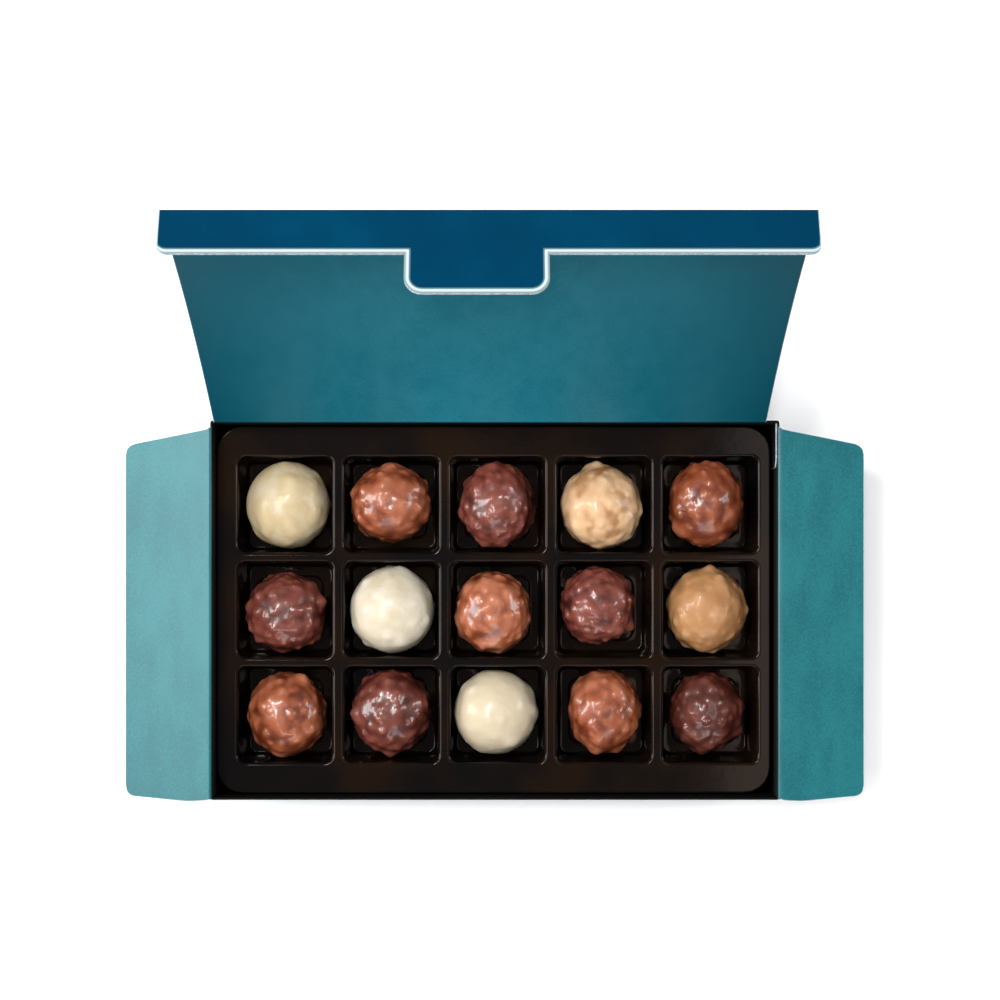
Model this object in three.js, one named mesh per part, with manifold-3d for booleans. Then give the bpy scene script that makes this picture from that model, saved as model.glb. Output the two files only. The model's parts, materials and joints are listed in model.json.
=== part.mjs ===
// An open box of chocolate pralines: a folding carton whose lid, tuck flap and two side flaps
// turn on creases, a thin moulded tray of fifteen cells, and one lumpy round praline in each cell.
// Millimetres, +Z up. The origin is the centre of the carton's underside, +X is to the right
// and +Y is towards the back, where the lid is creased.
import * as THREE from 'three';
import { mergeVertices } from 'three/addons/utils/BufferGeometryUtils.js';
import Module from 'manifold-3d';

// Carton: one board folded into a tray-shaped box
const BOARD = 0.8;
const CLEARANCE = 0.3;
const CARTON_WIDTH = 193.8;
const CARTON_DEPTH = 129;
const CARTON_HEIGHT = 34;
const CARTON_CORNER = 1;
const GLUE_TAB_LENGTH = 15;
const GLUE_TAB_DROP = 0.6;

// Lid panel, leaning back past upright and bowed along its height
const LID_WIDTH = 187.4;
const LID_OFFSET = -1.65;
const LID_LEAN = 23.65;
const LID_BOW = 11;
const LID_BOW_STEPS = 8;
const FRONT_PLAY = 1.2;

// Tuck flap along the lid's free edge, with a tongue near its middle
const TUCK_REACH = 14.5;
const TUCK_CORNER = 3;
const TONGUE_WIDTH = 40.9;
const TONGUE_REACH = 27.4;
const TONGUE_CORNER = 5.3;
const TONGUE_OFFSET = -3.35;

// Side flaps, folded outward and drooping a little below level
const FLAP_REACH = 29.8;
const FLAP_DROOP = 8;
const FLAP_CORNER = 4.2;
const FLAP_FRONT_ROOT = -63.6;
const FLAP_FRONT_BULGE = -65.3;
const FLAP_FRONT_TIP = -63.7;
const FLAP_BULGE_START = 4.4;
const FLAP_BULGE_END = 8.8;
const FLAP_BACK_ROOT = 62.2;
const FLAP_BACK_SHOULDER = 61.4;
const FLAP_BACK_TIP = 57;
const FLAP_BACK_SLANT = 0.8;
const FLAP_SHOULDER_REACH = 2;
const FLAP_BEAD_SETBACK = 0.2;

// Tray: a thin sheet moulded into tapered cells, with a border that turns down at its rim
const SHEET = 0.5;
const TRAY_TOP = 24.5;
const TRAY_WIDTH = 190.7;
const TRAY_DEPTH = 126.4;
const TRAY_OFFSET = -0.45;
const TRAY_CORNER = 9;
const TRAY_LIP = 4;
const BORDER_ROUND = 1.2;
const COLUMNS = 5;
const ROWS = 3;
const COLUMN_PITCH = 36.65;
const ROW_PITCH = 36.2;
const ARRAY_OFFSET = 0.97;
const CELL_WIDTH = 32.4;
const CELL_DEPTH = 33;
const CELL_CORNER = 2.5;
const CELL_DRAFT = 3;
const SHOULDER_DROP = 1.2;
const SHOULDER_RUN = 0.9;
const PAD_SIZE = 22;
const PAD_HEIGHT = 0.8;
const PAD_CORNER = 3;

// Pralines: kind, width and depth seen from above, place in the cell, and nubs of nut that
// stand out, each as [angle from +X, angle above the widest level, height]
const PRALINE_HEIGHT = 26.2;
const PRALINE_FOOT = 0.08;
const PRALINE_DETAIL = 4;
const LUMPS = 90;
const LUMP_SPREAD = 0.016;
const LUMP_SPREAD_RANGE = [0.6, 1.4];
const LUMP_HEIGHT_RANGE = [0.35, 1.65];
const LUMP_TURN_SHAKE = 0.9;
const LUMP_LEVEL_SHAKE = 0.2;
const LUMP_LEVEL_LIMIT = 0.98;
const NUB_SPREAD = 0.014;
const KINDS = {
  white: { color: 0xeee2c2, roughness: 0.38, relief: 0.018 },
  milk: { color: 0x9c5430, roughness: 0.28, relief: 0.045 },
  dark: { color: 0x4f231d, roughness: 0.25, relief: 0.048 },
  caramel: { color: 0xd3a76f, roughness: 0.4, relief: 0.022 },
};
const PRALINES = [
  [
    { kind: 'white', width: 29.3, depth: 30.5, at: [0.3, 0.1], nubs: [] },
    { kind: 'milk', width: 28.4, depth: 28.0, at: [-0.4, 0.9], nubs: [[88, 10, 1.1]] },
    { kind: 'dark', width: 27.5, depth: 30.4, at: [-0.2, 0.3], nubs: [[190, 5, 1], [250, 15, 0.9]] },
    { kind: 'caramel', width: 28.6, depth: 31.0, at: [-0.5, 0], nubs: [] },
    { kind: 'milk', width: 26.2, depth: 30.5, at: [-0.6, 0.3], nubs: [[225, 20, 0.8]] },
  ],
  [
    { kind: 'dark', width: 28.8, depth: 28.2, at: [-0.3, -1.2], nubs: [[20, 15, 0.9]] },
    { kind: 'white', width: 29.6, depth: 30.8, at: [-0.1, -0.1], nubs: [] },
    { kind: 'milk', width: 26.8, depth: 28.6, at: [-1.7, -1.2], nubs: [[140, 25, 0.8]] },
    { kind: 'dark', width: 26.6, depth: 27.5, at: [-1.8, 1.3], nubs: [[330, 10, 0.9]] },
    { kind: 'caramel', width: 28.6, depth: 31.0, at: [-0.3, 0.1], nubs: [[278, 5, 0.8]] },
  ],
  [
    { kind: 'milk', width: 27.9, depth: 30.0, at: [-0.1, -0.6], nubs: [[60, 20, 0.8]] },
    { kind: 'dark', width: 27.9, depth: 30.9, at: [-0.5, -0.1], nubs: [[270, 8, 1.2]] },
    { kind: 'white', width: 29.5, depth: 29.3, at: [-0.5, 0.3], nubs: [[0, 12, 0.7]] },
    { kind: 'milk', width: 25.9, depth: 29.6, at: [0.8, 0.5], nubs: [[250, 12, 1], [290, 8, 1]] },
    { kind: 'dark', width: 25.9, depth: 28.9, at: [-0.3, 0], nubs: [[10, 12, 1], [328, 10, 0.9]] },
  ],
];

// Places worked out from the sizes above
const SIDE_HINGE_X = (CARTON_WIDTH - BOARD) / 2;
const SIDE_HINGE_Z = CARTON_HEIGHT + CLEARANCE + BOARD / 2;
const LID_HINGE_Y = (CARTON_DEPTH - BOARD) / 2;
const LID_HINGE_Z = SIDE_HINGE_Z + BOARD + CLEARANCE;
const BACK_WALL_HEIGHT = LID_HINGE_Z - BOARD / 2 - CLEARANCE;
const LID_CHORD = LID_HINGE_Y + CARTON_DEPTH / 2 + FRONT_PLAY + BOARD / 2;
const CREASE_SETBACK = BOARD / 2 + CLEARANCE;
const CELL_FLOOR = BOARD + CLEARANCE + SHEET;
const PRALINE_SEAT = CELL_FLOOR + PAD_HEIGHT + CLEARANCE;
const OVERCUT = 5;
const CORNER_STEPS = 3;
const OUTLINE_STEPS = 5;
const BEAD_SIDES = 12;

// The repeatable draws: how far the sine turns for each seed, how much it is enlarged, the
// steps between one lump's four draws, and the seeds between rows and columns
const DRAW_TURN = 12.9898;
const DRAW_SCALE = 43758.5453;
const DRAW_STEPS = [0, 0.3, 0.6, 0.8];
const ROW_SEED = 100;
const COLUMN_SEED = 7;

const wasm = await Module();
wasm.setup();

const radians = THREE.MathUtils.degToRad;
const finish = (color, roughness) => new THREE.MeshStandardMaterial({ color, roughness, metalness: 0 });
const boardFinish = finish(0x2c7684, 0.45);
const trayFinish = finish(0x17171a, 0.2);

// A closed geometry as a solid that can be joined and cut
function toSolid(geometry) {
  const bare = geometry.clone();
  bare.deleteAttribute('normal');
  bare.deleteAttribute('uv');
  const merged = mergeVertices(bare);
  return new wasm.Manifold(new wasm.Mesh({
    numProp: 3,
    vertProperties: new Float32Array(merged.attributes.position.array),
    triVerts: new Uint32Array(merged.index.array),
  }));
}

function toGeometry(solid) {
  const { vertProperties, triVerts } = solid.getMesh();
  const geometry = new THREE.BufferGeometry();
  geometry.setAttribute('position', new THREE.BufferAttribute(vertProperties, 3));
  geometry.setIndex(new THREE.BufferAttribute(triVerts, 1));
  geometry.computeVertexNormals();
  return geometry;
}

function named(name, geometry, material) {
  const mesh = new THREE.Mesh(geometry, material);
  mesh.name = name;
  return mesh;
}

// One level of a stack: the corner points of a rounded rectangle, anticlockwise from above
function ring({ z, width, depth, corner, x = 0, y = 0 }) {
  const points = [];
  const centres = [[1, 1], [-1, 1], [-1, -1], [1, -1]];
  centres.forEach(([sx, sy], quarter) => {
    for (let step = 0; step <= CORNER_STEPS; step++) {
      const angle = (quarter + step / CORNER_STEPS) * Math.PI / 2;
      points.push(
        x + sx * (width / 2 - corner) + corner * Math.cos(angle),
        y + sy * (depth / 2 - corner) + corner * Math.sin(angle),
        z,
      );
    }
  });
  return points;
}

// A closed solid lofted through rounded rectangles, listed from the lowest to the highest
function stack(levels) {
  const count = 4 * (CORNER_STEPS + 1);
  const positions = levels.flatMap(ring);
  const index = [];
  for (let level = 0; level + 1 < levels.length; level++) {
    for (let j = 0; j < count; j++) {
      const a = level * count + j;
      const b = level * count + (j + 1) % count;
      index.push(a, b, b + count, a, b + count, a + count);
    }
  }
  const top = (levels.length - 1) * count;
  for (let j = 1; j + 1 < count; j++) {
    index.push(0, j + 1, j, top, top + j, top + j + 1);
  }
  const geometry = new THREE.BufferGeometry();
  geometry.setAttribute('position', new THREE.Float32BufferAttribute(positions, 3));
  geometry.setIndex(index);
  return toSolid(geometry);
}

// An upright block, given by its lowest and highest corners
function block(low, high) {
  const size = high.map((value, axis) => value - low[axis]);
  const geometry = new THREE.BoxGeometry(...size);
  geometry.translate(...low.map((value, axis) => value + size[axis] / 2));
  return toSolid(geometry);
}

// A flat plate of board: its outline lies in the local XY plane, with the crease along local X
function plate(outline) {
  const geometry = new THREE.ExtrudeGeometry(outline, {
    depth: BOARD,
    curveSegments: OUTLINE_STEPS,
    bevelEnabled: false,
  });
  geometry.translate(0, 0, -BOARD / 2);
  return toSolid(geometry);
}

// The round bead that a creased panel turns on, along local X
function bead(from, to) {
  const geometry = new THREE.CylinderGeometry(BOARD / 2, BOARD / 2, to - from, BEAD_SIDES);
  geometry.rotateZ(Math.PI / 2);
  geometry.translate((from + to) / 2, 0, 0);
  return toSolid(geometry);
}

// Bottom and four walls. The back wall is taller, so that the lid folds over the side flaps.
// A glue tab from the back wall shows inside the right wall.
function cartonBase() {
  const inner = { width: CARTON_WIDTH - 2 * BOARD, depth: CARTON_DEPTH - 2 * BOARD };
  const outer = { width: CARTON_WIDTH, depth: CARTON_DEPTH, corner: CARTON_CORNER };
  const shell = stack([{ z: 0, ...outer }, { z: BACK_WALL_HEIGHT, ...outer }]);
  const hollow = block(
    [-inner.width / 2, -inner.depth / 2, BOARD],
    [inner.width / 2, inner.depth / 2, BACK_WALL_HEIGHT + OVERCUT],
  );
  const half = CARTON_WIDTH / 2 + OVERCUT;
  const aboveSides = block(
    [-half, -CARTON_DEPTH / 2 - OVERCUT, CARTON_HEIGHT],
    [half, inner.depth / 2, BACK_WALL_HEIGHT + OVERCUT],
  );
  const tab = block(
    [inner.width / 2 - BOARD, inner.depth / 2 - GLUE_TAB_LENGTH, BOARD / 2],
    [inner.width / 2 + BOARD / 2, inner.depth / 2 + BOARD / 2, CARTON_HEIGHT - GLUE_TAB_DROP],
  );
  return named('carton_base', toGeometry(shell.subtract(hollow).subtract(aboveSides).add(tab)), boardFinish);
}

// The lid's side profile is a shallow arc of board that bows outward between crease and fold
function lidPanel() {
  const halfBow = radians(LID_BOW) / 2;
  const radius = LID_CHORD / 2 / Math.sin(halfBow);
  const centre = new THREE.Vector2(LID_CHORD / 2, radius * Math.cos(halfBow));
  const end = halfBow - CREASE_SETBACK / radius;
  const along = (offset, step) => {
    const angle = THREE.MathUtils.lerp(-halfBow, end, step / LID_BOW_STEPS);
    const reach = radius + offset;
    return new THREE.Vector2(centre.x + reach * Math.sin(angle), centre.y - reach * Math.cos(angle));
  };
  const steps = [...Array(LID_BOW_STEPS + 1).keys()];
  const outside = steps.map((step) => along(BOARD / 2, step));
  const inside = steps.map((step) => along(-BOARD / 2, step)).reverse();
  const profile = new THREE.Shape([...outside, ...inside]);
  const geometry = new THREE.ExtrudeGeometry(profile, { depth: LID_WIDTH, bevelEnabled: false });
  geometry.translate(0, 0, -LID_WIDTH / 2);
  const turn = new THREE.Matrix4().makeBasis(
    new THREE.Vector3(0, 1, 0),
    new THREE.Vector3(0, 0, 1),
    new THREE.Vector3(1, 0, 0),
  );
  geometry.applyMatrix4(turn);
  const solid = toSolid(geometry).add(bead(-LID_WIDTH / 2, LID_WIDTH / 2));
  return named('lid_panel', toGeometry(solid), boardFinish);
}

function tuckFlap() {
  const half = LID_WIDTH / 2;
  const left = TONGUE_OFFSET - TONGUE_WIDTH / 2;
  const right = TONGUE_OFFSET + TONGUE_WIDTH / 2;
  const outline = new THREE.Shape();
  outline.moveTo(-half, 0);
  outline.lineTo(half, 0);
  outline.lineTo(half, TUCK_REACH - TUCK_CORNER);
  outline.absarc(half - TUCK_CORNER, TUCK_REACH - TUCK_CORNER, TUCK_CORNER, 0, Math.PI / 2);
  outline.lineTo(right, TUCK_REACH);
  outline.lineTo(right, TONGUE_REACH - TONGUE_CORNER);
  outline.absarc(right - TONGUE_CORNER, TONGUE_REACH - TONGUE_CORNER, TONGUE_CORNER, 0, Math.PI / 2);
  outline.absarc(left + TONGUE_CORNER, TONGUE_REACH - TONGUE_CORNER, TONGUE_CORNER, Math.PI / 2, Math.PI);
  outline.lineTo(left, TUCK_REACH);
  outline.absarc(-half + TUCK_CORNER, TUCK_REACH - TUCK_CORNER, TUCK_CORNER, Math.PI / 2, Math.PI);
  outline.closePath();
  return named('tuck_flap', toGeometry(plate(outline).add(bead(-half, half))), boardFinish);
}

// Side flap, with `back` the direction of local X that points to the back of the box
function sideFlap(name, back) {
  const outline = new THREE.Shape();
  outline.moveTo(back * FLAP_FRONT_ROOT, 0);
  outline.quadraticCurveTo(
    back * FLAP_FRONT_BULGE, FLAP_BULGE_START,
    back * FLAP_FRONT_BULGE, FLAP_BULGE_END,
  );
  outline.lineTo(back * FLAP_FRONT_TIP, FLAP_REACH - FLAP_CORNER);
  outline.quadraticCurveTo(
    back * FLAP_FRONT_TIP, FLAP_REACH,
    back * (FLAP_FRONT_TIP + FLAP_CORNER), FLAP_REACH,
  );
  outline.lineTo(back * (FLAP_BACK_TIP - FLAP_CORNER), FLAP_REACH);
  outline.quadraticCurveTo(
    back * (FLAP_BACK_TIP - FLAP_BACK_SLANT), FLAP_REACH,
    back * FLAP_BACK_TIP, FLAP_REACH - FLAP_CORNER,
  );
  outline.lineTo(back * FLAP_BACK_SHOULDER, FLAP_SHOULDER_REACH);
  outline.lineTo(back * FLAP_BACK_ROOT, 0);
  outline.closePath();
  const front = back * (FLAP_FRONT_ROOT + FLAP_BEAD_SETBACK);
  const rear = back * (FLAP_BACK_ROOT - FLAP_BEAD_SETBACK);
  const solid = plate(outline).add(bead(Math.min(front, rear), Math.max(front, rear)));
  return named(name, toGeometry(solid), boardFinish);
}

// Cell sizes at a height between the floor and the shoulder, with the draft of the walls
function cellAt(z, grow = 0) {
  const narrowing = 2 * (TRAY_TOP - z) * Math.tan(radians(CELL_DRAFT));
  return {
    z,
    width: CELL_WIDTH - narrowing + 2 * grow,
    depth: CELL_DEPTH - narrowing + 2 * grow,
    corner: CELL_CORNER + grow,
  };
}

function cellCentres() {
  const centres = [];
  for (let row = 0; row < ROWS; row++) {
    for (let column = 0; column < COLUMNS; column++) {
      centres.push({
        row,
        column,
        x: ARRAY_OFFSET + (column - (COLUMNS - 1) / 2) * COLUMN_PITCH,
        y: ((ROWS - 1) / 2 - row) * ROW_PITCH,
      });
    }
  }
  return centres;
}

function tray() {
  const rim = (z, inset) => ({
    z,
    x: TRAY_OFFSET,
    width: TRAY_WIDTH - 2 * inset,
    depth: TRAY_DEPTH - 2 * inset,
    corner: TRAY_CORNER - inset,
  });
  const lipFoot = TRAY_TOP - TRAY_LIP;
  const skin = stack([rim(lipFoot, 0), rim(TRAY_TOP - BORDER_ROUND, 0), rim(TRAY_TOP, BORDER_ROUND)]);
  const underside = stack([
    rim(lipFoot - OVERCUT, SHEET),
    rim(TRAY_TOP - BORDER_ROUND, SHEET),
    rim(TRAY_TOP - SHEET, BORDER_ROUND),
  ]);
  let solid = skin.subtract(underside);
  const centres = cellCentres();
  for (const at of centres) {
    const cup = [
      cellAt(CELL_FLOOR - SHEET, SHEET),
      cellAt(TRAY_TOP - SHOULDER_DROP - SHEET / 2, SHEET),
      cellAt(TRAY_TOP - SHEET / 2, SHEET + SHOULDER_RUN),
    ];
    solid = solid.add(stack(cup.map((level) => ({ ...level, x: at.x, y: at.y }))));
  }
  for (const at of centres) {
    const well = [
      cellAt(CELL_FLOOR),
      cellAt(TRAY_TOP - SHOULDER_DROP),
      cellAt(TRAY_TOP, SHOULDER_RUN),
      cellAt(TRAY_TOP + OVERCUT, SHOULDER_RUN),
    ];
    solid = solid.subtract(stack(well.map((level) => ({ ...level, x: at.x, y: at.y }))));
  }
  for (const at of centres) {
    const pad = { x: at.x, y: at.y, corner: PAD_CORNER };
    solid = solid.add(stack([
      { ...pad, z: CELL_FLOOR - SHEET / 2, width: PAD_SIZE, depth: PAD_SIZE },
      { ...pad, z: CELL_FLOOR + PAD_HEIGHT, width: PAD_SIZE - PAD_HEIGHT, depth: PAD_SIZE - PAD_HEIGHT },
    ]));
  }
  return named('tray', toGeometry(solid), trayFinish);
}

// A repeatable draw between 0 and 1: the fraction left of a large sine
function draw(seed) {
  const value = Math.sin(seed * DRAW_TURN) * DRAW_SCALE;
  return value - Math.floor(value);
}

// Lumps of chopped nut under the shell: directions spread evenly over the ball by the golden
// angle and then shaken, each with its own height and spread
function lumps(seed, relief) {
  const golden = Math.PI * (3 - Math.sqrt(5));
  return Array.from({ length: LUMPS }, (_, i) => {
    const [turnDraw, levelDraw, heightDraw, spreadDraw] = DRAW_STEPS.map((step) => draw(seed + i + step));
    const even = 1 - 2 * (i + 0.5) / LUMPS;
    const turn = i * golden + LUMP_TURN_SHAKE * (turnDraw - 0.5);
    const shaken = even + LUMP_LEVEL_SHAKE * (levelDraw - 0.5);
    const level = THREE.MathUtils.clamp(shaken, -LUMP_LEVEL_LIMIT, LUMP_LEVEL_LIMIT);
    const across = Math.sqrt(1 - level * level);
    return {
      direction: new THREE.Vector3(across * Math.cos(turn), across * Math.sin(turn), level),
      height: relief * THREE.MathUtils.lerp(...LUMP_HEIGHT_RANGE, heightDraw),
      spread: LUMP_SPREAD * THREE.MathUtils.lerp(...LUMP_SPREAD_RANGE, spreadDraw),
    };
  });
}

// A ball raised by lumps and nubs, scaled to its measured size and flattened where it stands
function praline({ kind, width, depth, nubs }, seed) {
  const bumps = lumps(seed, KINDS[kind].relief);
  for (const [around, above, height] of nubs) {
    const across = Math.cos(radians(above));
    bumps.push({
      direction: new THREE.Vector3(
        across * Math.cos(radians(around)),
        across * Math.sin(radians(around)),
        Math.sin(radians(above)),
      ),
      height: height / (width / 2),
      spread: NUB_SPREAD,
    });
  }
  const bare = new THREE.IcosahedronGeometry(1, PRALINE_DETAIL);
  bare.deleteAttribute('normal');
  bare.deleteAttribute('uv');
  const ball = mergeVertices(bare);
  const position = ball.attributes.position;
  const unit = new THREE.Vector3();
  for (let i = 0; i < position.count; i++) {
    unit.fromBufferAttribute(position, i).normalize();
    const raised = bumps.reduce(
      (sum, bump) => sum + bump.height * Math.exp((unit.dot(bump.direction) - 1) / bump.spread),
      1,
    );
    position.setXYZ(i, ...unit.multiplyScalar(raised).toArray());
  }
  ball.computeBoundingBox();
  const size = ball.boundingBox.getSize(new THREE.Vector3());
  const middle = ball.boundingBox.getCenter(new THREE.Vector3());
  const fullHeight = PRALINE_HEIGHT / (1 - PRALINE_FOOT);
  ball.translate(-middle.x, -middle.y, -middle.z);
  ball.scale(width / size.x, depth / size.y, fullHeight / size.z);
  const foot = fullHeight * (PRALINE_FOOT - 0.5);
  for (let i = 0; i < position.count; i++) {
    position.setZ(i, Math.max(position.getZ(i), foot) - foot);
  }
  ball.computeVertexNormals();
  return ball;
}

const group = new THREE.Group();
group.add(cartonBase(), tray());

for (const at of cellCentres()) {
  const recipe = PRALINES[at.row][at.column];
  const finishOfKind = finish(KINDS[recipe.kind].color, KINDS[recipe.kind].roughness);
  const name = `praline_${at.row + 1}_${at.column + 1}_${recipe.kind}`;
  const seed = ROW_SEED * at.row + COLUMN_SEED * at.column + 1;
  const mesh = named(name, praline(recipe, seed), finishOfKind);
  mesh.position.set(at.x + recipe.at[0], at.y + recipe.at[1], PRALINE_SEAT);
  group.add(mesh);
}

const lid = new THREE.Group();
lid.position.set(LID_OFFSET, LID_HINGE_Y, LID_HINGE_Z);
lid.rotation.x = radians(90 - LID_LEAN);
lid.add(lidPanel());
const tuck = new THREE.Group();
tuck.position.y = LID_CHORD;
tuck.rotation.x = Math.PI / 2;
tuck.add(tuckFlap());
lid.add(tuck);
group.add(lid);

for (const [name, side] of [['left_flap', -1], ['right_flap', 1]]) {
  const hinge = new THREE.Group();
  hinge.position.set(side * SIDE_HINGE_X, 0, SIDE_HINGE_Z);
  hinge.rotation.z = -side * Math.PI / 2;
  const flap = sideFlap(name, -side);
  flap.rotation.x = -radians(FLAP_DROOP);
  hinge.add(flap);
  group.add(hinge);
}

export default group;
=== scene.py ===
# %% [markdown]
# An open box of chocolate pralines, seen from straight above. The real thing is a folded carton, a
# moulded black tray and fifteen round pralines with chopped nuts under their shells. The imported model
# gives every place and size, and this lesson adds what the eye wants: rounded creases, cut edges of
# board, soft shoulders on the tray and a lumpy, glossy skin on the chocolate.

# %% Load the frame
import bpy
import json
import math
import numpy as np
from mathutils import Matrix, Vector
from mathutils.geometry import delaunay_2d_cdt


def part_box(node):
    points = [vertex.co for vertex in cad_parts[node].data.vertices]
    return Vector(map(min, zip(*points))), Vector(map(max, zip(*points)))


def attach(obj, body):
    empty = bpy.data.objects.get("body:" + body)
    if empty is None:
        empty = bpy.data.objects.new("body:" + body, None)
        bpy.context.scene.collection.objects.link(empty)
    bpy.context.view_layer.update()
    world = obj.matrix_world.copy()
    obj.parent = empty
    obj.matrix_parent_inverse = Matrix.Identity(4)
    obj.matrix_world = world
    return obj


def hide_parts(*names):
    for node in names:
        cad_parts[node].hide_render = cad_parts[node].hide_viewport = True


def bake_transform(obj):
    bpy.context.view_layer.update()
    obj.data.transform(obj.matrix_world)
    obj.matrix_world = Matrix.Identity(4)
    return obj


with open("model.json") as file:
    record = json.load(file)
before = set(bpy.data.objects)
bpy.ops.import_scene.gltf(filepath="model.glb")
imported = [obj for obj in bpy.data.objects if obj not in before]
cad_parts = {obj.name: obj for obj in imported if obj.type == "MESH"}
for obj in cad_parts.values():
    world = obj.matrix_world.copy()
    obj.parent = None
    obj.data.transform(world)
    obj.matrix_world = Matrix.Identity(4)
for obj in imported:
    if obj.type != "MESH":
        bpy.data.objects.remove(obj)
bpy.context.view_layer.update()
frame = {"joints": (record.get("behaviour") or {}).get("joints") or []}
MM = 0.001


def corners_mm(node):
    """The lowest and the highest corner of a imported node, in millimetres."""
    low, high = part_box(node)
    return np.array(low) / MM, np.array(high) / MM


JOINTS = {joint["name"]: joint for joint in frame["joints"]}
carton_low, carton_high = corners_mm("carton_base")
print("carton from", carton_low.round(2), "to", carton_high.round(2))

# %% [markdown]
# A camera that looks straight down shows the box as a plan, and only the leaning lid tells how high it
# hangs. The lid's sides spread towards the fold, and a lens of 77.5 mm about 73 cm above the rim spreads
# them by the right amount. The point below the lens isn't in the middle of the picture, so the
# picture plane is shifted a little instead of turning the camera.

# %% Camera
LENS = 77.5
CAMERA_PLACE = np.array([0.15, 17.1, 766.0])
SHIFT = (0.0048, 0.06)

camera_data = bpy.data.cameras.new("camera")
camera_data.lens = LENS
camera_data.sensor_width = 36.0
camera_data.shift_x, camera_data.shift_y = SHIFT
camera = bpy.data.objects.new("camera", camera_data)
camera.location = CAMERA_PLACE * MM
bpy.context.scene.collection.objects.link(camera)
bpy.context.scene.camera = camera
print("camera at", CAMERA_PLACE, "mm with a lens of", LENS, "mm")

# %% [markdown]
# Every new piece starts as arrays: points in millimetres and quads that name their four corners. A grid
# of points is the simplest surface, and most pieces here are one grid bent into shape, so the numbering
# of its quads is written once.

# %% Grids and pieces
EDGE_ROUND = 0.12
SHARP_ANGLE = math.radians(40)


def quads_of(number):
    """The quads of a grid of point numbers. Each runs down the rows first, so that rows x columns is
    the way it faces."""
    corners = [number[:-1, :-1], number[1:, :-1], number[1:, 1:], number[:-1, 1:]]
    return np.stack(corners, axis=-1).reshape(-1, 4)


def grid_quads(rows, columns, wrap=False):
    """The quads of a grid whose points are numbered row by row. With wrap, the last column meets the
    first."""
    number = np.arange(rows * columns).reshape(rows, columns)
    return quads_of(np.hstack([number, number[:, :1]]) if wrap else number)


def new_piece(name, points, faces, finishes, finish_of_face=None):
    """A smooth-shaded object made of points in millimetres and faces that may have any corner count."""
    mesh = bpy.data.meshes.new(name)
    faces = [list(map(int, face)) for face in faces]
    mesh.from_pydata((np.asarray(points, float) * MM).tolist(), [], faces)
    for finish in finishes:
        mesh.materials.append(finish)
    if finish_of_face is not None:
        mesh.polygons.foreach_set("material_index", np.asarray(finish_of_face, np.int32))
    mesh.shade_smooth()
    mesh.update()
    piece = bpy.data.objects.new(name, mesh)
    bpy.context.scene.collection.objects.link(piece)
    return piece


def point_values(piece, name, values):
    """Keeps one number for each point of a piece, for its material to read."""
    attribute = piece.data.attributes.new(name, "FLOAT", "POINT")
    attribute.data.foreach_set("value", np.asarray(values, np.float32))


def settle(piece):
    """Makes the result of a piece's modifiers its own mesh."""
    evaluated = piece.evaluated_get(bpy.context.evaluated_depsgraph_get())
    piece.data = bpy.data.meshes.new_from_object(evaluated)
    piece.modifiers.clear()


def round_edges(piece):
    """Rounds the sharp edges of a piece by a narrow bevel."""
    bevel = piece.modifiers.new("rounded edges", "BEVEL")
    bevel.width = EDGE_ROUND * MM
    bevel.segments = 2
    bevel.limit_method = "ANGLE"
    bevel.angle_limit = SHARP_ANGLE
    settle(piece)


# %% [markdown]
# A finish is a sum of small causes: a base colour, a slow drift of it, a fine grain, a worn edge. One
# small class wraps an output of a node and lets Python's plus and times signs add the Math nodes, so a
# finish reads like the sentence that describes it.

# %% Shader maths
class Flow:
    """A number or colour that flows out of a node. Arithmetic on it adds Math nodes."""

    def __init__(self, finish, socket):
        self.finish = finish
        self.socket = socket

    def math(self, operation, first, second):
        return self.finish.add("ShaderNodeMath", {"operation": operation}, {0: first, 1: second})

    def __add__(self, other):
        return self.math("ADD", self, other)

    def __sub__(self, other):
        return self.math("SUBTRACT", self, other)

    def __rsub__(self, other):
        return self.math("SUBTRACT", other, self)

    def __mul__(self, other):
        return self.math("MULTIPLY", self, other)

    __radd__ = __add__

    def between(self, low, high):
        """0 below low and 1 above high, with a smooth rise from one to the other."""
        settings = {"interpolation_type": "SMOOTHSTEP", "clamp": True}
        inputs = {"Value": self, "From Min": low, "From Max": high}
        return self.finish.add("ShaderNodeMapRange", settings, inputs)


def socket_of(sockets, key):
    """A node's socket by its number, its name or its identifier, which tells like-named ones apart."""
    if isinstance(key, int):
        return sockets[key]
    return next(socket for socket in sockets if key in (socket.identifier, socket.name))


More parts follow.
